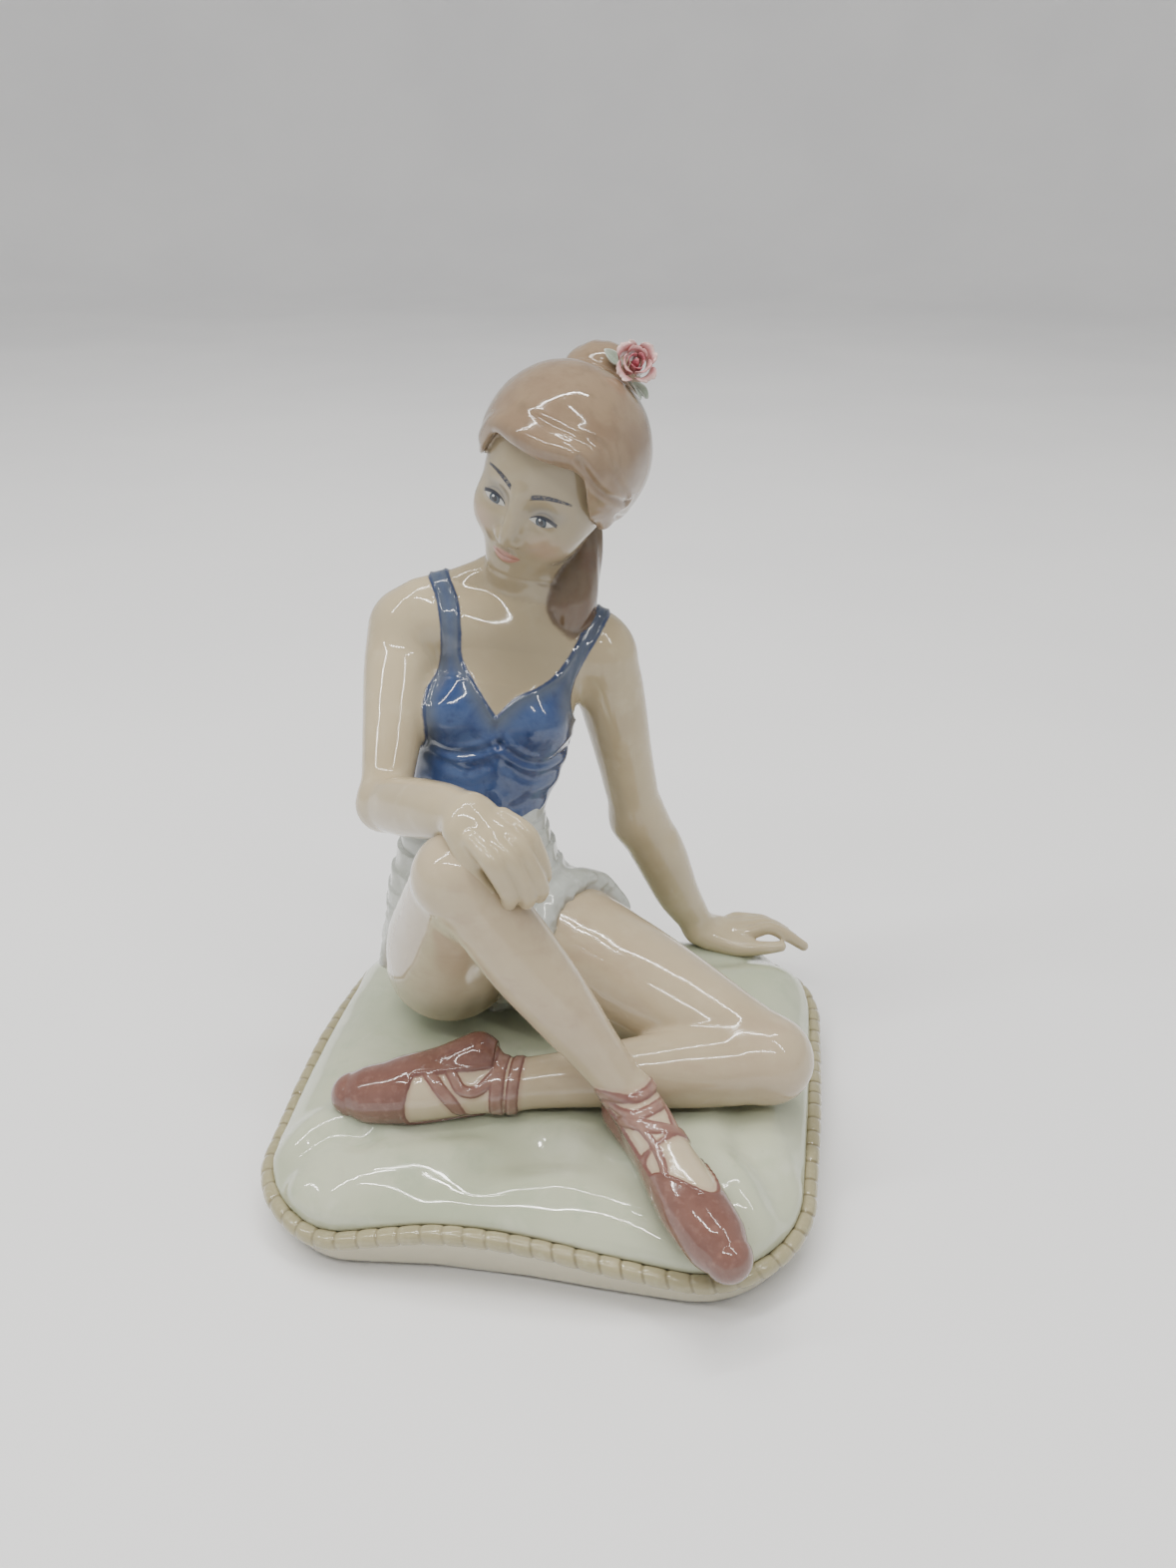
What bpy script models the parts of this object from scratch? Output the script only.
"""Seated dancer in glazed porcelain on a square cushion, built as separate castings.
Lengths are in millimetres until the meshes are made, +Z up, front of the cushion towards -Y."""
import bpy
import bmesh
import numpy as np


# ---------------------------------------------------------------- fields
def V(*p):
    return np.array(p, np.float32)

def unit(v):
    v = np.asarray(v, np.float64)
    return v / np.linalg.norm(v)

def smin(a, b, k):
    h = np.maximum(k - np.abs(a - b), 0.0)
    return np.minimum(a, b) - h * h * (0.25 / k)

def smax(a, b, k):
    h = np.maximum(k - np.abs(a - b), 0.0)
    return np.maximum(a, b) + h * h * (0.25 / k)

def capsule(P, a, b, ra, rb):
    a = V(*a); b = V(*b); ba = b - a
    pa = P - a
    t = np.clip((pa @ ba) / float(ba @ ba), 0.0, 1.0)
    t3 = t[:, None] * ba
    d = pa - t3
    return np.sqrt((d * d).sum(1)) - (ra + (rb - ra) * t)

def chain(P, pts, k):
    """tapered capsules through (x, y, z, r) points, smoothly joined"""
    d = None
    for p, q in zip(pts[:-1], pts[1:]):
        c = capsule(P, p[:3], q[:3], p[3], q[3])
        d = c if d is None else smin(d, c, k)
    return d

def tube(P, pts, n=18):
    """round limb along a smooth curve through (x, y, z, r) points"""
    A = np.array(pts, np.float64)
    u = np.concatenate([[0], np.cumsum(np.linalg.norm(np.diff(A[:, :3], axis=0), axis=1))])
    n = max(2, int(n * 0.6))
    s = np.linspace(0, u[-1], n + 1)
    C = curve(s, u, A)[0].astype(np.float32)
    # far from the limb the distance to its box is enough
    R = C[:, 3:].max()
    lo = C[:, :3].min(0) - R; hi = C[:, :3].max(0) + R
    far = np.maximum(np.maximum(lo - P, P - hi), 0.0)
    far = np.sqrt((far * far).sum(1))
    near = far < 12.0
    if near.mean() < 0.7:
        if near.any():
            far[near] = tube_near(P[near], C, u, A)
        return far
    return tube_near(P, C, u, A)

def curve(s, u, A):
    """cubic through the rows of A at stations u: value, slope, curvature"""
    m = np.empty_like(A)
    m[1:-1] = (A[2:] - A[:-2]) / (u[2:] - u[:-2])[:, None]
    m[0] = (A[1] - A[0]) / (u[1] - u[0]); m[-1] = (A[-1] - A[-2]) / (u[-1] - u[-2])
    i = np.clip(np.searchsorted(u, s) - 1, 0, len(u) - 2)
    h = (u[i + 1] - u[i])[:, None]; t = (s - u[i])[:, None] / h
    a, b, p, q = A[i], A[i + 1], m[i] * h, m[i + 1] * h
    t2 = t * t; t3 = t2 * t
    return ((2 * t3 - 3 * t2 + 1) * a + (t3 - 2 * t2 + t) * p + (3 * t2 - 2 * t3) * b + (t3 - t2) * q,
            ((6 * t2 - 6 * t) * a + (3 * t2 - 4 * t + 1) * p + (6 * t - 6 * t2) * b + (3 * t2 - 2 * t) * q) / h,
            ((12 * t - 6) * a + (6 * t - 4) * p + (6 - 12 * t) * b + (6 * t - 2) * q) / (h * h))

def tube_near(P, C, u, A):
    """nearest station on the chords, then sharpened on the curve itself"""
    best = None
    L = u[-1]; n = len(C) - 1
    for i, (p, q) in enumerate(zip(C[:-1], C[1:])):
        ba = q[:3] - p[:3]
        pa = P - p[:3]
        t = np.clip((pa @ ba) / float(ba @ ba), 0.0, 1.0)
        d = pa - t[:, None] * ba
        d = np.sqrt((d * d).sum(1)) - (p[3] + (q[3] - p[3]) * t)
        if best is None:
            best = d; st = t / n
        else:
            m = d < best
            best = np.where(m, d, best); st = np.where(m, (t + i) / n, st)
    s = st * L
    for k in range(3):
        c, c1, c2 = curve(s, u, A)
        e = c[:, :3] - P
        if k == 2:
            break
        g = (e * c1[:, :3]).sum(1); w = (c1[:, :3] ** 2).sum(1); hh = w + (e * c2[:, :3]).sum(1)
        s = np.clip(s - np.clip(g / np.maximum(hh, 0.35 * w), -0.06 * L, 0.06 * L), 0.0, L)
    return (np.sqrt((e * e).sum(1)) - c[:, 3]).astype(np.float32)

def frame(x, y):
    """rows: x axis, y axis made square to x, z"""
    x = unit(x); y = np.asarray(y, np.float64); y = unit(y - x * (x @ y))
    return np.array([x, y, np.cross(x, y)])

def ellipsoid(P, c, r, M=None):
    q = P - V(*c)
    if M is not None:
        q = q @ np.asarray(M, np.float32).T
    r = V(*r)
    k0 = np.sqrt(((q / r) ** 2).sum(1))
    k1 = np.sqrt(((q / (r * r)) ** 2).sum(1)) + 1e-6
    return k0 * (k0 - 1.0) / k1

def lerp_tab(x, xs, ys):
    """smooth (cubic) table look-up"""
    xs = np.asarray(xs, np.float64); ys = np.asarray(ys, np.float64)
    m = np.zeros_like(ys)
    m[1:-1] = (ys[2:] - ys[:-2]) / (xs[2:] - xs[:-2])
    m[0] = (ys[1] - ys[0]) / (xs[1] - xs[0])
    m[-1] = (ys[-1] - ys[-2]) / (xs[-1] - xs[-2])
    x = np.clip(x, xs[0], xs[-1])
    i = np.clip(np.searchsorted(xs, x) - 1, 0, len(xs) - 2)
    h = xs[i + 1] - xs[i]
    t = (x - xs[i]) / h
    t2 = t * t; t3 = t2 * t
    return ((2 * t3 - 3 * t2 + 1) * ys[i] + (t3 - 2 * t2 + t) * h * m[i]
            + (-2 * t3 + 3 * t2) * ys[i + 1] + (t3 - t2) * h * m[i + 1])

# ---------------------------------------------------------------- mesher
CORNERS = [(0, 0, 0), (1, 0, 0), (0, 1, 0), (1, 1, 0), (0, 0, 1), (1, 0, 1), (0, 1, 1), (1, 1, 1)]

def grid_mesh(f, lo, hi, h, newton=2, coarse=4):
    """surface nets over f<0 in the box lo..hi, lattice aligned to multiples of h.
    returns vertices (n,3), quads (m,4) facing outwards"""
    lo = np.floor(np.asarray(lo, float) / h).astype(int)
    hi = np.ceil(np.asarray(hi, float) / h).astype(int)
    n = hi - lo + 1
    n = ((n + coarse - 1) // coarse) * coarse + 1
    ax = [(lo[i] + np.arange(n[i])) * h for i in range(3)]
    F = np.full(n, 1.0, np.float32)
    # coarse pass
    cx = [a[::coarse] for a in ax]
    G = np.stack(np.meshgrid(*cx, indexing="ij"), -1).reshape(-1, 3).astype(np.float32)
    D = np.empty(len(G), np.float32)
    for s in range(0, len(G), 400000):
        D[s:s + 400000] = f(G[s:s + 400000])
    cn = [len(c) for c in cx]
    D = D.reshape(cn)
    sgn = np.where(D < 0, -1.0, 1.0).astype(np.float32)
    F[:-1, :-1, :-1] = np.repeat(np.repeat(np.repeat(sgn[:-1, :-1, :-1], coarse, 0), coarse, 1), coarse, 2)
    # blocks near the surface
    near = np.abs(D) < h * coarse * 1.9
    blk = np.zeros([c - 1 for c in cn], bool)
    for i in (0, 1):
        for j in (0, 1):
            for k in (0, 1):
                blk |= near[i:cn[0] - 1 + i, j:cn[1] - 1 + j, k:cn[2] - 1 + k]
    need = np.zeros(n, bool)
    bi = np.argwhere(blk)
    o = np.arange(coarse + 1)
    for b0 in range(0, len(bi), 20000):
        b = bi[b0:b0 + 20000] * coarse
        I = (b[:, 0, None] + o)[:, :, None, None]
        J = (b[:, 1, None] + o)[:, None, :, None]
        K = (b[:, 2, None] + o)[:, None, None, :]
        need[I, J, K] = True
    idx = np.argwhere(need)
    val = np.empty(len(idx), np.float32)
    base = np.array([a[0] for a in ax])
    for s in range(0, len(idx), 400000):
        q = (idx[s:s + 400000] * h + base).astype(np.float32)
        val[s:s + 400000] = f(q)
    F[need] = val
    F[F == 0] = 1e-6
    ins = F < 0
    # no sheet may touch itself along an edge or at a corner: fill such cells
    def sub(o_):
        return ins[o_[0]:n[0] - 1 + o_[0], o_[1]:n[1] - 1 + o_[1], o_[2]:n[2] - 1 + o_[2]]
    for _ in range(12):
        put = np.zeros(ins.shape, bool)
        for a_ in range(3):
            o1 = [0, 0, 0]; o1[(a_ + 1) % 3] = 1
            o2 = [0, 0, 0]; o2[(a_ + 2) % 3] = 1
            o3 = [p + q for p, q in zip(o1, o2)]
            A, B, D, C = sub((0, 0, 0)), sub(o1), sub(o2), sub(o3)
            m = A & C & ~B & ~D
            put[o1[0]:n[0] - 1 + o1[0], o1[1]:n[1] - 1 + o1[1], o1[2]:n[2] - 1 + o1[2]] |= m
            m = B & D & ~A & ~C
            put[:n[0] - 1, :n[1] - 1, :n[2] - 1] |= m
        tot = sum(sub(o_).astype(np.int8) for o_ in CORNERS)
        for p in range(4):
            q = CORNERS[p]; r = tuple(1 - t for t in q)
            m = (tot == 2) & sub(q) & sub(r)
            w = (q[0], q[1], 1 - q[2])
            put[w[0]:n[0] - 1 + w[0], w[1]:n[1] - 1 + w[1], w[2]:n[2] - 1 + w[2]] |= m
            m = (tot == 6) & ~sub(q) & ~sub(r)
            put[q[0]:n[0] - 1 + q[0], q[1]:n[1] - 1 + q[1], q[2]:n[2] - 1 + q[2]] |= m
        put &= ~ins
        if not put.any():
            break
        ins |= put
        F[put] = -0.02 * h
    # cells with a sign change
    c = np.zeros([m - 1 for m in n], np.int8)
    for i in (0, 1):
        for j in (0, 1):
            for k in (0, 1):
                c += ins[i:n[0] - 1 + i, j:n[1] - 1 + j, k:n[2] - 1 + k]
    act = (c > 0) & (c < 8)
    ai = np.argwhere(act)
    vid = np.full([m - 1 for m in n], -1, np.int64)
    vid[act] = np.arange(len(ai))
    # vertex = mean of edge crossings
    acc = np.zeros((len(ai), 3)); cnt = np.zeros(len(ai))
    corners = CORNERS
    edges = [(p, q) for p in range(8) for q in range(p + 1, 8)
             if sum(abs(corners[p][t] - corners[q][t]) for t in range(3)) == 1]
    fv = [F[ai[:, 0] + o_[0], ai[:, 1] + o_[1], ai[:, 2] + o_[2]] for o_ in corners]
    for p, q in edges:
        m = (fv[p] < 0) != (fv[q] < 0)
        t = np.where(m, fv[p] / np.where(m, fv[p] - fv[q], 1.0), 0.0)
        pt = np.array(corners[p])[None] + t[:, None] * (np.array(corners[q]) - np.array(corners[p]))[None]
        acc[m] += pt[m]; cnt[m] += 1
    verts = (acc / cnt[:, None] + ai) * h + base
    quads = []
    for a in range(3):
        b, d = (a + 1) % 3, (a + 2) % 3
        s0 = [slice(None)] * 3; s1 = [slice(None)] * 3
        s0[a] = slice(0, -1); s1[a] = slice(1, None)
        A = ins[tuple(s0)]; B = ins[tuple(s1)]
        e = np.argwhere(A != B)
        ok = (e[:, b] > 0) & (e[:, d] > 0) & (e[:, b] < n[b] - 1) & (e[:, d] < n[d] - 1)
        e = e[ok]
        flip = A[e[:, 0], e[:, 1], e[:, 2]]
        def cell(db, dd):
            g = e.copy(); g[:, b] -= db; g[:, d] -= dd
            return vid[g[:, 0], g[:, 1], g[:, 2]]
        q = np.stack([cell(1, 1), cell(0, 1), cell(0, 0), cell(1, 0)], 1)
        q[~flip] = q[~flip][:, ::-1]
        quads.append(q)
    quads = np.concatenate(quads)
    for _ in range(newton):
        verts = project(f, verts, h)
    return verts, quads

def gradient(f, v, e=0.05):
    k = np.array([[1, -1, -1], [-1, -1, 1], [-1, 1, -1], [1, 1, 1]], float)
    g = np.zeros_like(v)
    for s in range(0, len(v), 100000):
        w = v[s:s + 100000]
        a = 0
        for kk in k:
            a = a + kk[None] * f((w + kk * e).astype(np.float32))[:, None].astype(float)
        g[s:s + 100000] = a / (4 * e)
    return g

def project(f, v, h, lim=0.45):
    g = gradient(f, v)
    n2 = np.maximum((g * g).sum(1), 0.09)
    d = np.empty(len(v))
    for s in range(0, len(v), 200000):
        d[s:s + 200000] = f(v[s:s + 200000].astype(np.float32))
    step = -(d / n2)[:, None] * g
    l = np.linalg.norm(step, axis=1)
    sc = np.minimum(1.0, lim * h / np.maximum(l, 1e-9))
    return v + step * sc[:, None]
# ---------------------------------------------------------------- figure (mm)
# joints
R_SH, R_EL, R_WR = (-44.5, 33.0, 122.5), (-41.0, -3.0, 92.0), (-12.5, -32.5, 106.8)
L_SH, L_EL, L_WR = (6.0, 41.0, 114.8), (15.0, 46.0, 67.0), (33.4, 52.0, 28.9)
R_HIP, R_KN, R_AN = (-30.0, 7.5, 40.4), (-15.5, -34.0, 92.8), (23.5, -36.0, 38.3)
L_HIP, L_KN, L_AN = (-3.0, 18.0, 44.0), (54.5, -14.5, 35.5), (-8.0, -27.8, 30.6)
HEAD = V(-6.5, 35.5, 162.5)
NECK0, NECK1 = (-17.0, 35.0, 124.0), (-9.5, 38.0, 147.0)
CHEST_X = unit((50.5, 7.0, -5.5))
CHEST_M = frame(CHEST_X, (0.0, 0.94, -0.33))        # x left, y back, z up
YAW = np.radians(9.0)
YAW_M = np.array([[np.cos(YAW), np.sin(YAW), 0], [-np.sin(YAW), np.cos(YAW), 0], [0, 0, 1]])

# head axes: face forward, then crown rolled to the figure's left
def head_axes(az=-20.0, down=15.0, roll=22.0):
    a, d, r = np.radians([az, down, roll])
    F = np.array([np.sin(a) * np.cos(d), -np.cos(a) * np.cos(d), -np.sin(d)])
    Y = -F
    X = unit(np.cross(Y, (0, 0, 1)))
    Z = np.cross(X, Y)
    X2 = X * np.cos(r) - Z * np.sin(r)
    Z2 = Z * np.cos(r) + X * np.sin(r)
    return np.array([X2, Y, Z2])
HEAD_M = head_axes()

def warp_chain(P, pts, k, sy, M=YAW_M):
    """chain whose cross-section is narrower front to back by sy"""
    S = np.array([1.0, sy, 1.0], np.float32)
    Mf = M.astype(np.float32)
    q = (P @ Mf.T) * S
    w = []
    for p in pts:
        c = (Mf @ V(*p[:3])) * S
        w.append((c[0], c[1], c[2], p[3]))
    return chain(q, w, k)

def trunk(P):
    d = warp_tube(P, [(-22.5, 15.5, 46.0, 22.0), (-23.5, 17.5, 68.0, 18.6), (-24.0, 19.0, 81.0, 16.6),
                      (-20.5, 24.5, 96.0, 18.4), (-18.5, 29.5, 108.0, 18.6), (-17.8, 32.5, 118.0, 14.5)], 1.36)
    # shoulder girdle
    g = tube(P, [(-41.5, 31.5, 126.4, 8.6), (-31.0, 31.5, 126.8, 8.4), (-17.5, 34.0, 120.0, 9.2), (-6.0, 37.5, 118.6, 8.6), (3.5, 40.5, 117.6, 8.4)])
    d = smin(d, g, 9.0)
    # bust
    for c in ((-27.8, 19.4, 106.5), (-9.0, 22.0, 104.5)):
        d = smin(d, ellipsoid(P, c, (8.4, 7.8, 8.0), CHEST_M), 4.0)
    return d

def neck(P):
    d = capsule(P, NECK0, NECK1, 8.2, 7.4)
    t = tube(P, [(-38.5, 31.8, 132.6, 4.8), (-28.0, 34.8, 135.6, 4.7), (-14.5, 39.0, 141.4, 4.2)], 8)
    u = tube(P, [(4.5, 42.0, 122.4, 5.0), (-3.0, 41.5, 128.2, 4.7), (-10.0, 40.5, 138.6, 4.2)], 8)
    return smin(smin(d, t, 7.0), u, 7.0)

def warp_tube(P, pts, sy, M=YAW_M, n=18):
    S = np.array([1.0, sy, 1.0], np.float32)
    Mf = M.astype(np.float32)
    q = (P @ Mf.T) * S
    w = []
    for p in pts:
        c = (Mf @ V(*p[:3])) * S
        w.append((c[0], c[1], c[2], p[3]))
    return tube(q, w, n)

def lin(a, b, t):
    return tuple(np.asarray(a, float) + (np.asarray(b, float) - np.asarray(a, float)) * t)

def hand_r(P):
    d = unit((0.77, -0.33, -0.52)); n = unit((0.31, -0.50, 0.81)); n = unit(n - d * (n @ d)); l = np.cross(d, n)
    W = np.array(R_WR)
    M = np.array([d, l, n])
    q = (P - V(*W)) @ M.astype(np.float32).T                # along, across, up
    s = q * V(1.0, 0.58, 1.0)
    o = tube(s, [(-1, 0.1, -1.0, 2.1), (3, 0.0, -0.5, 3.0), (7.5, 0.0, -0.1, 3.8), (10.6, 0.0, -0.5, 3.5)], 8)
    for i, y in enumerate((-5.3, -1.8, 1.7, 5.1)):
        L = (11.4, 12.4, 12.0, 10.8)[i]
        e = (8.6, 9.8, 9.4, 8.0)[i]
        f = tube(q, [(L - 6, y * 0.9, 1.2, 1.9), (L, y * 1.0, 1.3, 2.3), (L + 0.5 * e, y * 0.98, -1.7, 2.15), (L + 0.88 * e, y * 0.90, -5.4, 2.05), (L + 0.92 * e, y * 0.88, -8.0, 1.95)], 10)
        o = smin(o, f, 0.55)
    th = tube(q, [(1.0, 4.6, -1.6, 2.7), (7.0, 6.6, -4.2, 2.4), (13.5, 6.4, -7.4, 1.9)], 6)
    return smin(o, th, 2.0)

def hand_l(P):
    d = unit((0.985, 0.12, -0.10)); n = unit((0.10, -0.10, 1.0)); n = unit(n - d * (n @ d)); l = np.cross(n, d)
    W = np.array([36.2, 52.6, 27.3])
    M = np.array([d, l, n])
    q = (P - V(*W)) @ M.astype(np.float32).T
    s = q * V(1.0, 0.58, 1.0)
    o = tube(s, [(-4.0, 0, 1.2, 3.7), (3, 0.3, 0.0, 3.5), (10.5, 0.6, 0.4, 3.0)], 8)
    for i, y in enumerate((-1.2, 1.9, 4.6, 6.8)):
        L = (16.8, 16.0, 14.6, 12.4)[i]
        e = (11.0, 9.0, 8.2, 7.2)[i]
        up = (4.3, 3.0, 1.6, 0.6)[i]
        f = tube(q, [(6.0, y * 0.8, 0.4, 1.9), (L - 4.5, y, 0.55 * up, 1.95), (L, y, up, 1.9), (L + 0.5 * e, y * 1.04, 0.52 * up, 1.75), (L + e, y * 1.06, -1.0, 1.45)], 10)
        o = smin(o, f, 0.7)
    th = tube(q, [(0.0, -3.4, -0.4, 2.9), (8.0, -5.6, -0.6, 2.4), (15.0, -5.8, 0.4, 2.0), (20.5, -5.0, 1.0, 1.45)], 8)
    return smin(o, th, 2.2)

def arm_r(P):
    d = tube(P, [(*lin(R_SH, R_EL, -0.02), 9.0), (*lin(R_SH, R_EL, 0.2), 9.0), (*lin(R_SH, R_EL, 0.55), 7.6), (*lin(R_SH, R_EL, 0.85), 6.3), (*R_EL, 6.1)])
    e = tube(P, [(*R_EL, 6.3), (*lin(R_EL, R_WR, 0.3), 7.0), (*lin(R_EL, R_WR, 0.7), 6.5), (*(lin(R_EL, R_WR, 0.97) + V(0.4, 0.4, -0.9)), 5.3)])
    return smin(smin(d, e, 3.0), hand_r(P), 3.6)

def arm_l(P):
    d = tube(P, [(*lin(L_SH, L_EL, -0.02), 8.8), (*lin(L_SH, L_EL, 0.2), 8.8), (*lin(L_SH, L_EL, 0.55), 7.7), (*lin(L_SH, L_EL, 0.85), 7.1), (*L_EL, 7.0)])
    e = tube(P, [(*L_EL, 7.0), (*(lin(L_EL, L_WR, 0.28) + V(0.4, 0.2, 0)), 7.5), (*(lin(L_EL, L_WR, 0.68) + V(-0.9, 0, 0)), 6.2), (*L_WR, 4.3)])
    return smin(smin(d, e, 4.0), hand_l(P), 3.0)

def leg_r(P):
    th = tube(P, [(*R_HIP, 16.8), (*lin(R_HIP, R_KN, 0.3), 16.0), (*lin(R_HIP, R_KN, 0.65), 12.8), (*lin(R_HIP, R_KN, 0.96), 9.8)])
    sh = tube(P, [(*R_KN, 9.0), (*lin(R_KN, R_AN, 0.30), 8.7), (*lin(R_KN, R_AN, 0.55), 7.9), (*lin(R_KN, R_AN, 0.8), 6.1), (*R_AN, 5.2)])
    calf = ellipsoid(P, lin(R_KN, R_AN, 0.36) + V(-1.6, 2.4, -1.2), (6.6, 7.4, 16.0), frame((0.82, 0.1, 0.57), (0, 1, 0)))
    d = smin(smin(th, sh, 3.0), calf, 4.0)
    f = tube(P, [(*R_AN, 5.2), (30.5, -44.5, 33.2, 5.9), (39.5, -56.5, 27.6, 7.0), (45.6, -63.8, 24.4, 6.6), (48.2, -66.8, 23.4, 5.0)])
    h = tube(P, [(22.0, -31.5, 30.0, 5.6), (31.0, -43.5, 28.2, 5.5), (39.5, -56.0, 26.6, 5.8)])
    return smin(d, smin(f, h, 3.0), 3.0)

def leg_l(P):
    th = tube(P, [(*L_HIP, 17.0), (*lin(L_HIP, L_KN, 0.5), 14.3), (*lin(L_HIP, L_KN, 0.85), 11.4), (*L_KN, 10.6)])
    sh = tube(P, [(*L_KN, 10.4), (*lin(L_KN, L_AN, 0.28), 9.9), (*lin(L_KN, L_AN, 0.55), 8.1), (*lin(L_KN, L_AN, 0.8), 6.6), (*L_AN, 6.0)])
    d = smin(th, sh, 1.8)
    f = tube(P, [(*L_AN, 6.0), (-18.0, -30.2, 30.4, 6.4), (-30.0, -32.8, 30.2, 7.2), (-40.0, -34.0, 29.0, 6.5), (-44.2, -34.0, 28.4, 5.0)])
    h = tube(P, [(-14.8, -25.5, 37.2, 5.2), (-22.0, -28.0, 34.0, 5.6), (-30.0, -31.5, 31.5, 6.3)])
    return smin(d, smin(f, h, 3.0), 2.6)

# head, local frame: x figure's left, y back, z up; chin at -26, crown of the hair near 27
def skull(q):
    q = q * np.stack([1.0 + 0.011 * np.clip(-5.0 - q[:, 2], 0.0, 24.0), np.ones(len(q)), np.ones(len(q))], 1).astype(np.float32)
    d = ellipsoid(q, (0, 3.5, 5.5), (16.8, 19.0, 18.6))
    d = smin(d, ellipsoid(q, (0, -4.0, -7.0), (14.4, 13.2, 17.5)), 5.0)
    d = smin(d, ellipsoid(q, (0, -12.0, -20.0), (6.0, 5.0, 5.4)), 7.0)
    return d

def hair_cap(q):
    d = ellipsoid(q, (0.5, 4.5, 6.5), (20.6, 20.8, 20.6))
    d = smin(d, ellipsoid(q, (2.5, -3.2, 10.6), (16.6, 13.4, 13.6)), 5.0)
    d = smin(d, ellipsoid(q, (0.5, 10.5, -6.0), (14.0, 12.0, 13.5)), 4.0)
    # face opening
    x, y, z = q[:, 0], q[:, 1], q[:, 2]
    top = lerp_tab(x, [-22, -18, -15, -13, -11, -7, 1, 7, 11, 13, 14.5, 16, 18, 22], [-3.0, -1.0, 3.0, 9.0, 14.4, 15.6, 15.8, 16.4, 17.2, 14.5, 9.0, 0.0, -4.0, -6.0]).astype(np.float32)
    w = (z - top) * 0.8
    w = smax(w, y - 1.0, 3.0)
    d = smax(d, -w, 2.6)
    # rolled fringe swept over the brow and down past the temple
    r = tube(q, [(-15.0, -7.0, 8.0, 1.3), (-11.5, -9.8, 15.0, 1.9), (-5.0, -12.9, 17.5, 2.4), (2.0, -13.8, 18.1, 2.7), (8.0, -12.7, 18.3, 2.8), (13.0, -9.6, 15.0, 2.4), (15.4, -6.2, 7.0, 2.2), (16.6, -3.4, -1.0, 2.0)], 14)
    d = smin(d, r, 2.2)
    # lower edge over the ears and nape
    low = -(z + 4.9 + 0.95 * np.maximum(y - 4.5, 0.0)) * np.where(y > 4.5, 0.76, 1.0)
    return smax(d, low, 1.7)

def head(P):
    q = head_local(P)
    return smin(skull(q), hair_cap(q), 0.6)

def head_local(P):
    return (P - HEAD) @ HEAD_M.astype(np.float32).T

BUN = V(3.5, 50.0, 183.6)
def bun(P):
    return ellipsoid(P, BUN, (9.8, 9.0, 8.8))

def lock(P):
    return tube(P, [(0.5, 45.0, 151.0, 4.6), (-1.0, 41.5, 142.0, 6.2), (-2.6, 38.2, 132.0, 7.2), (-2.9, 36.0, 124.0, 4.8), (-2.6, 35.0, 118.6, 1.8)], 12)

def skirt(P):
    d = warp_tube(P, [(-24.0, 19.0, 88.0, 16.6), (-24.0, 18.5, 78.0, 17.6), (-23.8, 17.5, 62.0, 23.0), (-23.3, 17.0, 46.0, 26.6)], 1.22)
    # front falls back towards the seat between the thighs
    x, y, z = P[:, 0], P[:, 1], P[:, 2]
    fr = (-6.5 + 0.42 * np.clip(60.0 - z, -10, 40) - y) * 0.9
    d = smax(d, fr, 5.0)
    # draped over the thigh roots, ending in rounded lips
    a = tube(P, [(*R_HIP, 18.0), (*lin(R_HIP, R_KN, 0.4), 16.8)], 3)
    b = tube(P, [(*L_HIP, 19.3), (*lin(L_HIP, L_KN, 0.4), 18.6)], 3)
    rd = V(*unit(np.subtract(R_KN, R_HIP) + V(-14, 0, 0))); ld = V(*unit(np.subtract(L_KN, L_HIP) + V(0, 0, 26)))
    cr = smax((P - V(*lin(R_HIP, R_KN, 0.05))) @ rd, (40.0 - z) * 0.9, 3.0)
    cl = (P - V(*lin(L_HIP, L_KN, 0.17))) @ ld
    roll = smax(np.sqrt((cl + 1.5) ** 2 + (b + 0.1) ** 2) - 2.1, 47.0 - z, 2.0)
    return smin(smin(smin(d, smax(a, cr, 2.2), 4.0), smax(b, cl, 2.4), 5.0), roll, 1.6)

# ---------------------------------------------------------------- cushion (mm)
CUSH_X, CUSH_Y = 64.6, 62.6      # half sides at the cord
CUSH_DX = 1.2                    # outline centre
CUSH_TOP = 24.8
def outline(x, y, r=26.0):
    """signed distance to the plan outline of the cord, sides slightly bowed"""
    x = x - CUSH_DX - 0.02 * y
    hx = CUSH_X + 1.6 * (1 - (y / 60.0) ** 2); hy = CUSH_Y + 0.6 * (1 - (x / 60.0) ** 2)
    ax = np.abs(x) - (hx - r); ay = np.abs(y) - (hy - r)
    return np.hypot(np.maximum(ax, 0), np.maximum(ay, 0)) + np.minimum(np.maximum(ax, ay), 0) - r

def cord_z(x, y):
    """height of the cord centre, wavy along each side"""
    front = lerp_tab(x, [-64, -54, -44, -30, -18, -6, 6, 22, 42, 54, 64], [10.5, 9.0, 9.2, 13.0, 15.8, 16.2, 15.2, 12.4, 9.6, 9.2, 10.5])
    back = 12.0 + 2.2 * np.cos((x + 10.0) * np.pi / 50.0)
    left = 12.2 + 2.0 * np.cos((y - 4.0) * np.pi / 48.0)
    right = 12.2 + 2.0 * np.cos((y + 12.0) * np.pi / 46.0)
    wf = np.maximum(-y, 0) ** 6; wb = np.maximum(y, 0) ** 6; wl = np.maximum(-x, 0) ** 6; wr = np.maximum(x, 0) ** 6
    s = wf + wb + wl + wr + 1e-3
    return ((front * wf + back * wb + left * wl + right * wr) / s).astype(np.float32)

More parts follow.
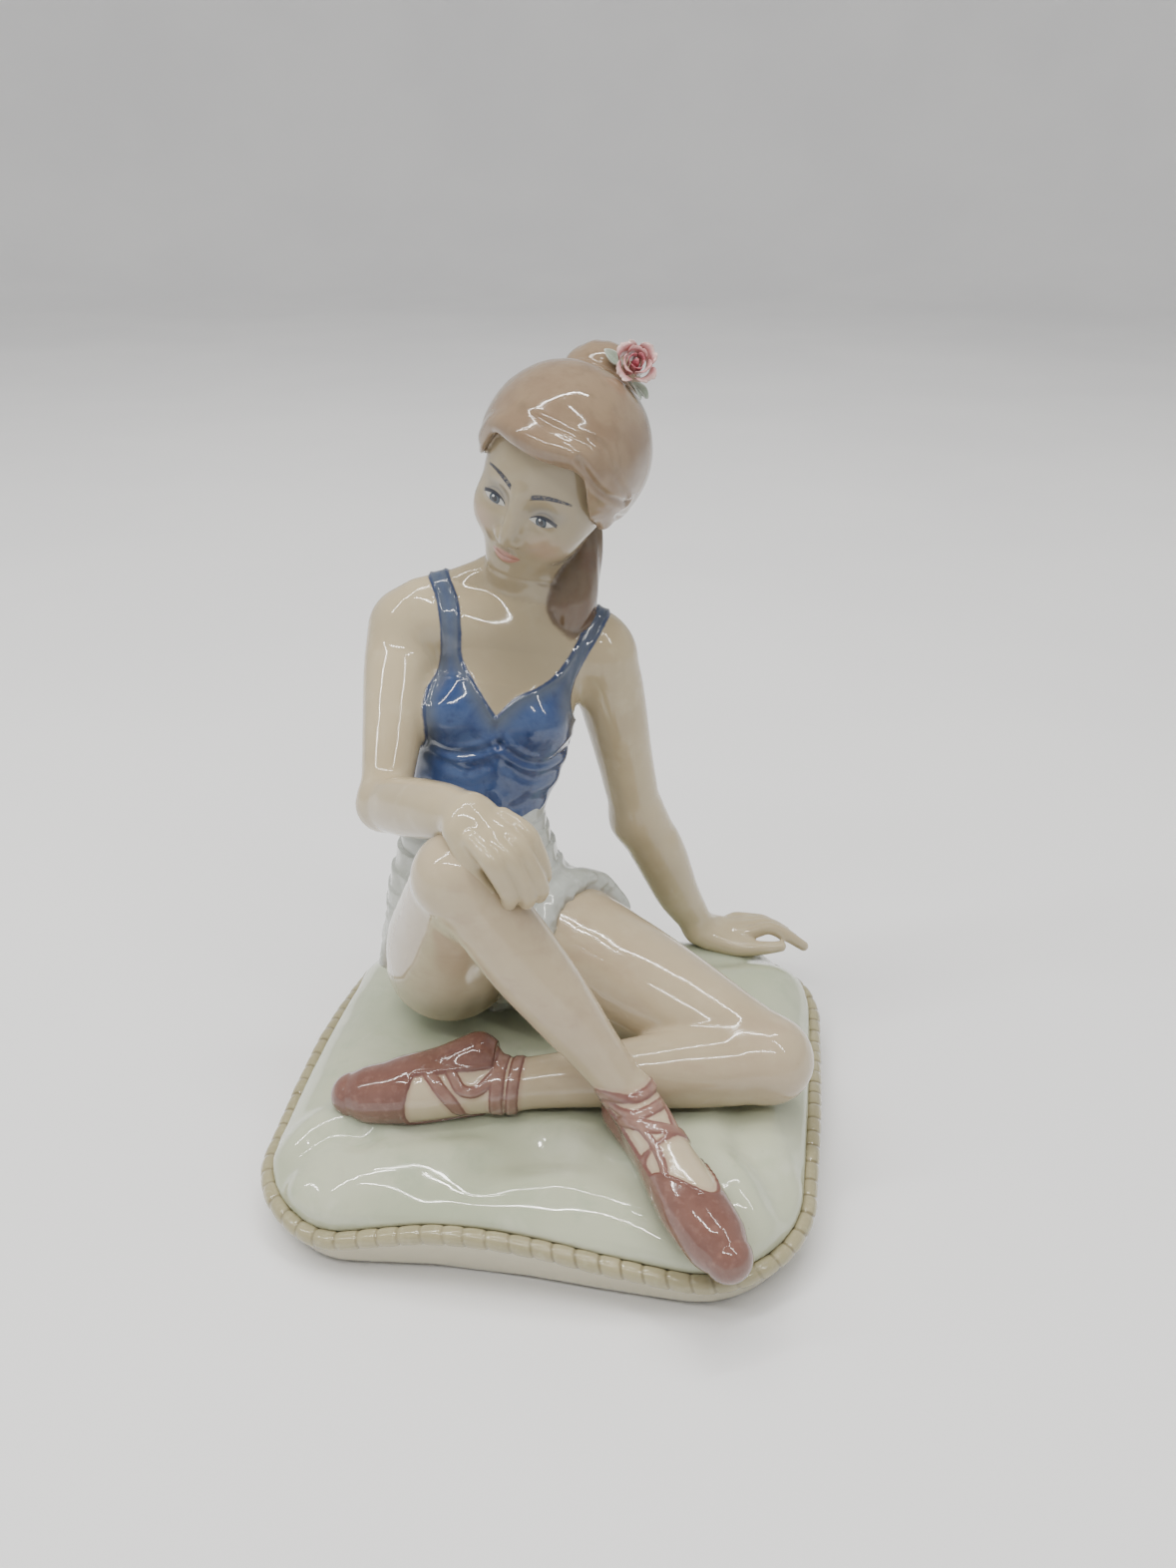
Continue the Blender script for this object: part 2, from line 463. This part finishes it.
def cushion(P):
    x, y, z = P[:, 0], P[:, 1], P[:, 2]
    e = -outline(x, y)                     # inset from the cord line
    zc = cord_z(x, y)
    # pillow top
    t = np.clip(e / 24.0, 0, 1)
    h = CUSH_TOP - zc
    top = zc - 1.0 + (h + 1.0) * (1 - (1 - t) ** 2.6) ** 0.62
    up = (z - top) * 0.62
    # band under the cord
    s = np.clip((zc - z) / 12.0, 0, 1.2)
    ins = 0.9 + 3.0 * s ** 1.6
    side = (ins - e)
    d = smax(up, side, 2.0)
    return smax(d, -z, 3.0)

CORD_R = 2.15
CORD_E = 0.3
def cord(P, r=CORD_R):
    """plain round cord in its groove"""
    e = -outline(P[:, 0], P[:, 1]) - CORD_E
    return np.sqrt(e * e + (P[:, 2] - cord_z(P[:, 0], P[:, 1])) ** 2) - r

# luting planes: a point on the plane and the direction that leaves the trunk
def plane(P, c, n):
    return (P - V(*c)) @ V(*unit(n))
def cut_arm_r(P): return plane(P, (-37.5, 32.0, 118.0), (-0.95, -0.12, -0.10))
def cut_arm_l(P): return plane(P, (-0.2, 38.0, 110.0), (0.96, 0.10, 0.05))
def cut_neck(P): return plane(P, (-14.2, 36.5, 133.5), (0.24, 0.10, 1.0))
def cut_waist(P): return plane(P, (-14.5, 18.0, 80.3), (-0.22, 0.0, 1.0))
def cut_leg_r(P): return plane(P, lin(R_HIP, R_KN, 0.10), np.subtract(R_KN, R_HIP))
def cut_leg_l(P): return plane(P, lin(L_HIP, L_KN, 0.12), np.subtract(L_KN, L_HIP))

def upper(P):
    """trunk, neck and arms run together, as glazed"""
    d = smin(trunk(P), neck(P), 4.0)
    return d

def upper_all(P):
    d = upper(P)
    a = arm_r(P); b = arm_l(P)
    near_a = smax(a, cut_arm_r(P) - 26.0, 1.0)
    return smin(smin(d, a, 4.5), b, 4.5)

# ---------------------------------------------------------------- rose (mm)
ROSE = np.array([12.9, 40.4, 188.4])
ROSE_M = None
def rose_axes():
    a = unit((0.28, -0.80, 0.48))
    x = unit(np.cross((0, 0, 1), a))
    return 0.90 * np.array([x, np.cross(a, x), a])

def sheet(fn, nu, nv, thick):
    """closed thin body about the surface fn(u, v), u and v in -1..1 and 0..1"""
    u = np.linspace(-1, 1, nu + 1); v = np.linspace(0, 1, nv + 1)
    U, W = np.meshgrid(u, v, indexing="ij")
    p = fn(U, W)
    e = 1e-3
    n = np.cross(fn(U + e, W) - fn(U - e, W), fn(U, W + e) - fn(U, W - e))
    n /= np.linalg.norm(n, axis=-1, keepdims=True) + 1e-12
    t = thick * (1.0 - 0.45 * W[..., None] * np.abs(W[..., None]))
    top = (p + n * t / 2).reshape(-1, 3); bot = (p - n * t / 2).reshape(-1, 3)
    N = len(top)
    idx = lambda i, j: i * (nv + 1) + j
    f = []
    for i in range(nu):
        for j in range(nv):
            a, b, c, d = idx(i, j), idx(i + 1, j), idx(i + 1, j + 1), idx(i, j + 1)
            f.append((a, b, c, d)); f.append((N + d, N + c, N + b, N + a))
    for i in range(nu):
        a, b = idx(i, 0), idx(i + 1, 0); f.append((b, a, N + a, N + b))
        a, b = idx(i, nv), idx(i + 1, nv); f.append((a, b, N + b, N + a))
    for j in range(nv):
        a, b = idx(0, j), idx(0, j + 1); f.append((a, b, N + b, N + a))
        a, b = idx(nu, j), idx(nu, j + 1); f.append((b, a, N + a, N + b))
    return np.concatenate([top, bot]), f

# ring: count, base radius, lip radius, height, half spread, start angle, shingle
RINGS = ((3, 1.75, 1.95, 4.7, 1.00, 0.3, 0.20), (3, 2.72, 3.25, 4.8, 0.98, 1.25, 0.26), (4, 3.75, 5.10, 4.0, 0.74, 0.55, 0.26))
def petal(ring, k):
    n, r0, r1, H, w, a0, sh = RINGS[ring]
    c = a0 + k * 2 * np.pi / n
    def fn(u, v):
        wid = w * np.sqrt(np.clip(1.0 - 0.80 * np.clip((v - 0.35) / 0.65, 0, 1) ** 2.6, 0.05, 1)) * (0.55 + 0.45 * np.clip(v / 0.3, 0, 1))
        ang = c + u * wid
        lip = np.clip((v - 0.55) / 0.45, 0, 1) ** 2
        r = r0 + (r1 - r0) * np.maximum(v, 0) ** (1.3 if ring else 1.0) + sh * u + lip * (0.15 + 0.35 * ring)
        z = -0.9 + H * (np.sin(np.clip(v, -1, 1.2) * np.pi / 2 * 0.92)) - lip * (0.3 + 0.35 * ring) * (1 - 0.6 * np.abs(u))
        return np.stack([r * np.cos(ang), r * np.sin(ang), z], -1)
    return fn

def hair_field(P):
    return np.minimum(bun(P), head(P))

def leaf(k):
    """leaf blade lying over the hair, in world millimetres; the tip lifts"""
    ang, L, lift = ((2.45, 6.6, 1.3), (-1.80, 7.2, 0.0), (-0.85, 6.2, 0.7))[k]
    M = rose_axes()
    def fn(u, v):
        w = 1.85 * np.sin(np.pi * np.clip(v * 0.93 + 0.055, 0.02, 0.995)) ** 0.8
        along = (2.4, 3.4, 2.6)[k] + v * L
        side = u * w
        x = along * np.cos(ang) - side * np.sin(ang)
        y = along * np.sin(ang) + side * np.cos(ang)
        p = np.stack([x, y, np.full_like(x, -2.3)], -1).reshape(-1, 3) @ M + ROSE
        want = (0.62 + lift * np.maximum(v, 0) ** 2 + 0.25 * np.abs(u) * w).reshape(-1)
        for _ in range(4):
            d = hair_field(p.astype(np.float32)).astype(float)
            g = gradient(hair_field, p)
            g /= np.linalg.norm(g, axis=1)[:, None] + 1e-9
            p = p + g * np.clip(want - d, -0.6, 3.0)[:, None]
        return p.reshape(x.shape + (3,))
    return fn

def rose_core(nu=14, nv=10):
    """spiral bud as a closed surface of revolution, slightly lobed"""
    v = []; f = []
    for j in range(1, nv):
        t = j / nv
        for i in range(nu):
            a = 2 * np.pi * i / nu
            r = 1.08 * np.sin(np.pi * t ** 0.85) ** 0.6 * (1 + 0.10 * np.cos(3 * a + 5 * t))
            v.append((r * np.cos(a), r * np.sin(a), -1.2 + 4.9 * t))
    v.append((0, 0, -1.2)); v.append((0, 0, 3.7))
    n = len(v)
    for j in range(nv - 2):
        for i in range(nu):
            a = j * nu + i; b = j * nu + (i + 1) % nu
            f.append((a, b, b + nu, a + nu))
    for i in range(nu):
        f.append((n - 2, (i + 1) % nu, i))
        o = (nv - 2) * nu
        f.append((n - 1, o + i, o + (i + 1) % nu))
    return np.array(v), f

# ---------------------------------------------------------------- CAD pieces
MM = 0.001
GAP = 0.5            # clearance between luted pieces
H = GAP / 2
VENT_R = 6.0         # vent hole in the underside
WALL = 3.2           # cast wall of the cushion
RECESS = 0.8         # depth of the underside inside the foot rim
FOOT_IN = 13.0       # inset of the foot rim's inner edge
SHIFT = V(-1.2, 2.9, 0.0)      # puts the origin under the middle of the whole piece

def legs(P):
    return np.minimum(leg_r(P), leg_l(P))

def c_torso(P):
    d = np.maximum(upper_all(P), cut_neck(P) + H)
    d = np.maximum(d, -cut_waist(P) + H)
    d = np.maximum(d, cut_arm_r(P) + H)
    d = np.maximum(d, cut_arm_l(P) + H)
    # the trunk only, never the fore-arm that passes in front of it
    return np.maximum(d, upper(P) - 3.0)

def trunk_side(s, P, c, r):
    """the trunk's side of a luting plane, close to that joint"""
    return np.maximum(s - H, np.sqrt(((P - V(*c)) ** 2).sum(1)) - r)

def c_arm_r(P):
    a = arm_r(P)
    d = np.minimum(np.maximum(upper_all(P), a - 2.5), a)
    d = np.maximum(d, -trunk_side(cut_arm_r(P), P, (-37.5, 32.0, 118.0), 24.0))
    return np.maximum(d, -(leg_r(P) - GAP))

def c_arm_l(P):
    a = arm_l(P)
    d = np.minimum(np.maximum(upper_all(P), a - 2.5), a)
    d = np.maximum(d, -cut_arm_l(P) + H)
    return np.maximum(d, -(leg_l(P) - GAP))

def c_head(P):
    d = smin(head(P), neck(P), 3.0)
    d = np.maximum(d, -cut_neck(P) + H)
    return d

def c_bun(P):
    return np.maximum(bun(P), -(head(P) - GAP))

def c_lock(P):
    d = np.maximum(lock(P), -(smin(head(P), neck(P), 3.0) - GAP))
    return np.maximum(d, -(upper_all(P) - GAP))

def c_leg_r(P):
    d = np.maximum(leg_r(P), -cut_leg_r(P) + H)
    return np.maximum(d, -(leg_l(P) - GAP))

def c_leg_l(P):
    return np.maximum(leg_l(P), -trunk_side(cut_leg_l(P), P, L_HIP, 32.0))

def c_skirt(P):
    d = smin(skirt(P), trunk(P) - 0.3, 2.0)
    d = np.maximum(d, cut_waist(P) + H)
    # sockets that take the thigh castings
    d = np.maximum(d, -(np.maximum(leg_r(P), -cut_leg_r(P)) - GAP))
    d = np.maximum(d, -(np.maximum(leg_l(P), -cut_leg_l(P)) - GAP))
    d = np.maximum(d, -(arm_l(P) - GAP))
    return np.maximum(d, -(cushion(P) - GAP))

def c_cushion(P):
    d = cushion(P)
    d = np.maximum(d, -(cord(P, CORD_R * 1.16) - GAP))
    d = np.maximum(d, -(legs(P) - GAP))
    return np.maximum(d, -(arm_l(P) - 0.75))

def c_cavity(P):
    d = cushion(P) + WALL
    d = np.maximum(d, -(legs(P) - WALL))
    d = np.maximum(d, -(arm_l(P) - WALL))
    d = np.maximum(d, -(cord(P, CORD_R) - WALL))
    return np.maximum(d, WALL + RECESS - P[:, 2])

CERAMIC = {}
def material(name, rgb, rough):
    m = bpy.data.materials.new(name)
    m.use_nodes = True
    b = m.node_tree.nodes["Principled BSDF"]
    b.inputs["Base Color"].default_value = (*rgb, 1.0)
    b.inputs["Roughness"].default_value = rough
    b.inputs["Metallic"].default_value = 0.0
    m.diffuse_color = (*rgb, 1.0)
    return m

def add_object(name, verts, faces, mat, smooth=True, scale=MM):
    me = bpy.data.meshes.new(name)
    me.from_pydata([tuple(p) for p in (np.asarray(verts, float) + SHIFT) * scale], [], [tuple(int(i) for i in f) for f in faces])
    me.validate()
    me.update()
    ob = bpy.data.objects.new(name, me)
    bpy.context.scene.collection.objects.link(ob)
    if mat is not None:
        me.materials.append(mat)
    if smooth:
        me.polygons.foreach_set("use_smooth", [True] * len(me.polygons))
    return ob

def bake_modifiers(ob):
    """replace the mesh by its evaluated result"""
    dg = bpy.context.evaluated_depsgraph_get()
    dg.update()
    me = bpy.data.meshes.new_from_object(ob.evaluated_get(dg))
    old = ob.data
    ob.modifiers.clear()
    ob.data = me
    me.name = ob.name
    bpy.data.meshes.remove(old)

def tidy(ob, flat_z=None):
    bm = bmesh.new(); bm.from_mesh(ob.data)
    if flat_z is not None:
        for v in bm.verts:
            if abs(v.co.z - flat_z) < 0.00008:
                v.co.z = flat_z
    bmesh.ops.triangulate(bm, faces=bm.faces[:])
    bmesh.ops.dissolve_degenerate(bm, dist=1e-7, edges=bm.edges[:])
    bmesh.ops.triangulate(bm, faces=[f for f in bm.faces if len(f.verts) > 3])
    # keep the largest body
    seen = set(); best = []
    for v in bm.verts:
        if v in seen: continue
        st = [v]; comp = []; seen.add(v)
        while st:
            w = st.pop(); comp.append(w)
            for e in w.link_edges:
                o = e.other_vert(w)
                if o not in seen: seen.add(o); st.append(o)
        if len(comp) > len(best): best = comp
    keep = set(best)
    bmesh.ops.delete(bm, geom=[v for v in bm.verts if v not in keep], context="VERTS")
    bad = sum(1 for e in bm.edges if len(e.link_faces) != 2)
    vol = bm.calc_volume(signed=True)
    if vol < 0:
        bmesh.ops.reverse_faces(bm, faces=bm.faces[:])
    bm.to_mesh(ob.data); n = len(bm.faces); bm.free()
    ob.data.polygons.foreach_set("use_smooth", [True] * len(ob.data.polygons))
    return bad, n

def decimate(ob, target):
    n = sum(len(p.vertices) - 2 for p in ob.data.polygons)
    if n > target:
        m = ob.modifiers.new("Decimate", "DECIMATE")
        m.ratio = target / n
        m.use_collapse_triangulate = True
        bake_modifiers(ob)

def cast(name, f, lo, hi, h, target, mat, flat_z=None):
    v, q = grid_mesh(f, lo, hi, h, newton=3)
    ob = add_object(name, v, q, mat)
    decimate(ob, target)
    bad, n = tidy(ob, flat_z)
    print(name, "faces", n, "open edges", bad)
    return ob

def cut(ob, tool):
    m = ob.modifiers.new("Cut", "BOOLEAN")
    m.operation = "DIFFERENCE"; m.solver = "EXACT"; m.object = tool
    bake_modifiers(ob)
    bpy.data.objects.remove(tool)

def prism(name, pts, z0, z1):
    n = len(pts)
    v = [(x, y, z0) for x, y in pts] + [(x, y, z1) for x, y in pts]
    f = [tuple(range(n - 1, -1, -1)), tuple(range(n, 2 * n))] + [(i, (i + 1) % n, n + (i + 1) % n, n + i) for i in range(n)]
    return add_object(name, v, f, None, smooth=False)

def plan_loop(inset, n):
    """n points on the cord outline moved inwards by inset, equally spaced"""
    a = np.linspace(0, 2 * np.pi, 1440, endpoint=False)
    r = np.full(len(a), 60.0)
    for _ in range(40):
        r -= 0.8 * (outline(CUSH_DX + r * np.cos(a), r * np.sin(a)) + inset)
    x = CUSH_DX + r * np.cos(a); y = r * np.sin(a)
    s = np.concatenate([[0], np.cumsum(np.hypot(np.diff(np.append(x, x[0])), np.diff(np.append(y, y[0]))))])
    t = np.linspace(0, s[-1], n, endpoint=False)
    return np.stack([np.interp(t, s, np.append(x, x[0])), np.interp(t, s, np.append(y, y[0]))], 1), s[-1]

def cord_mesh(n_seg, per, sides, r, bulge):
    """twisted cord: beads along the outline, grooves slanted round the section"""
    loop, length = plan_loop(CORD_E, n_seg * per)
    n = len(loop)
    z = cord_z(loop[:, 0], loop[:, 1]).astype(float)
    t = np.roll(loop, -1, 0) - np.roll(loop, 1, 0)
    t /= np.linalg.norm(t, axis=1)[:, None]
    out = np.stack([t[:, 1], -t[:, 0]], 1)
    v = []; f = []
    for i in range(n):
        for j in range(sides):
            a = 2 * np.pi * j / sides
            ph = 2 * np.pi * i / per + 0.9 * np.sin(a)
            rr = r * (1 - bulge + bulge * 2 * np.abs(np.cos(ph / 2)) ** 0.8)
            v.append((loop[i, 0] + out[i, 0] * rr * np.cos(a), loop[i, 1] + out[i, 1] * rr * np.cos(a), z[i] + rr * np.sin(a)))
    for i in range(n):
        for j in range(sides):
            a = i * sides + j; b = i * sides + (j + 1) % sides
            c = ((i + 1) % n) * sides + (j + 1) % sides; d = ((i + 1) % n) * sides + j
            f.append((a, b, c, d))
    return np.array(v), f

def build():
    for o in list(bpy.data.objects):
        bpy.data.objects.remove(o)
    skin = material("glazed_skin", (0.47, 0.40, 0.30), 0.12)
    blue = material("glazed_blue", (0.08, 0.15, 0.38), 0.12)
    white = material("glazed_pale_blue", (0.55, 0.60, 0.66), 0.12)
    hairm = material("glazed_brown", (0.30, 0.22, 0.17), 0.12)
    darkh = material("glazed_dark_brown", (0.20, 0.13, 0.09), 0.12)
    sage = material("glazed_celadon", (0.50, 0.55, 0.45), 0.12)
    cream = material("glazed_cream", (0.60, 0.53, 0.38), 0.14)
    pink = material("bisque_pink", (0.55, 0.26, 0.26), 0.25)
    deep = material("bisque_rose", (0.50, 0.16, 0.18), 0.25)
    green = material("bisque_green", (0.30, 0.36, 0.28), 0.25)

    # cushion: cast shell with a flat underside, foot rim and vent hole
    ob = cast("cushion", c_cushion, (-72, -72, -4), (74, 72, 32), 2.4, 2300, sage, flat_z=0.0)
    v, q = grid_mesh(c_cavity, (-68, -68, 1), (70, 68, 28), 3.4, newton=3)
    inner = add_object("cavity", v, q, None)
    decimate(inner, 700); tidy(inner)
    cut(ob, inner)
    ring, _ = plan_loop(FOOT_IN, 48)
    cut(ob, prism("recess", ring, -3.0, RECESS))
    a = np.linspace(0, 2 * np.pi, 24, endpoint=False)
    cut(ob, prism("vent", np.stack([VENT_R * np.cos(a), VENT_R * np.sin(a)], 1), -4.0, WALL + RECESS + 4.0))
    print("cushion", tidy(ob))

    v, f = cord_mesh(92, 2, 6, CORD_R, 0.10)
    add_object("cord_trim", v, f, cream); print("cord", tidy(bpy.data.objects["cord_trim"]))

    cast("torso", c_torso, (-60, 0, 66), (26, 62, 150), 1.8, 1300, blue)
    cast("skirt", c_skirt, (-66, -30, 18), (34, 62, 96), 1.8, 1300, white)
    cast("head", c_head, (-42, 0, 124), (30, 72, 204), 1.8, 1300, skin)
    cast("hair_bun", c_bun, (-14, 34, 168), (22, 68, 200), 1.6, 300, hairm)
    cast("hair_lock", c_lock, (-20, 24, 106), (18, 62, 164), 1.5, 300, darkh)
    cast("right_arm", c_arm_r, (-62, -62, 74), (22, 52, 142), 1.5, 1150, skin)
    cast("left_arm", c_arm_l, (-12, 24, 14), (82, 76, 136), 1.5, 1150, skin)
    cast("right_leg", c_leg_r, (-60, -82, 12), (66, 40, 116), 1.8, 1200, skin)
    cast("left_leg", c_leg_l, (-62, -56, 12), (78, 48, 76), 1.8, 1200, skin)

    M = rose_axes()
    def place(p): return np.asarray(p) @ M + ROSE
    v, f = rose_core(10, 8)
    add_object("rose_core", place(v), f, deep); tidy(bpy.data.objects["rose_core"])
    k = 0
    for ring_i, spec in enumerate(RINGS):
        for i in range(spec[0]):
            k += 1
            v, f = sheet(petal(ring_i, i), 4, 4, 0.38)
            add_object("rose_petal_%02d" % k, place(v), f, pink); tidy(bpy.data.objects["rose_petal_%02d" % k])
    for i in range(3):
        v, f = sheet(leaf(i), 2, 4, 0.5)
        add_object("rose_leaf_%d" % (i + 1), v, f, green); tidy(bpy.data.objects["rose_leaf_%d" % (i + 1)])

build()
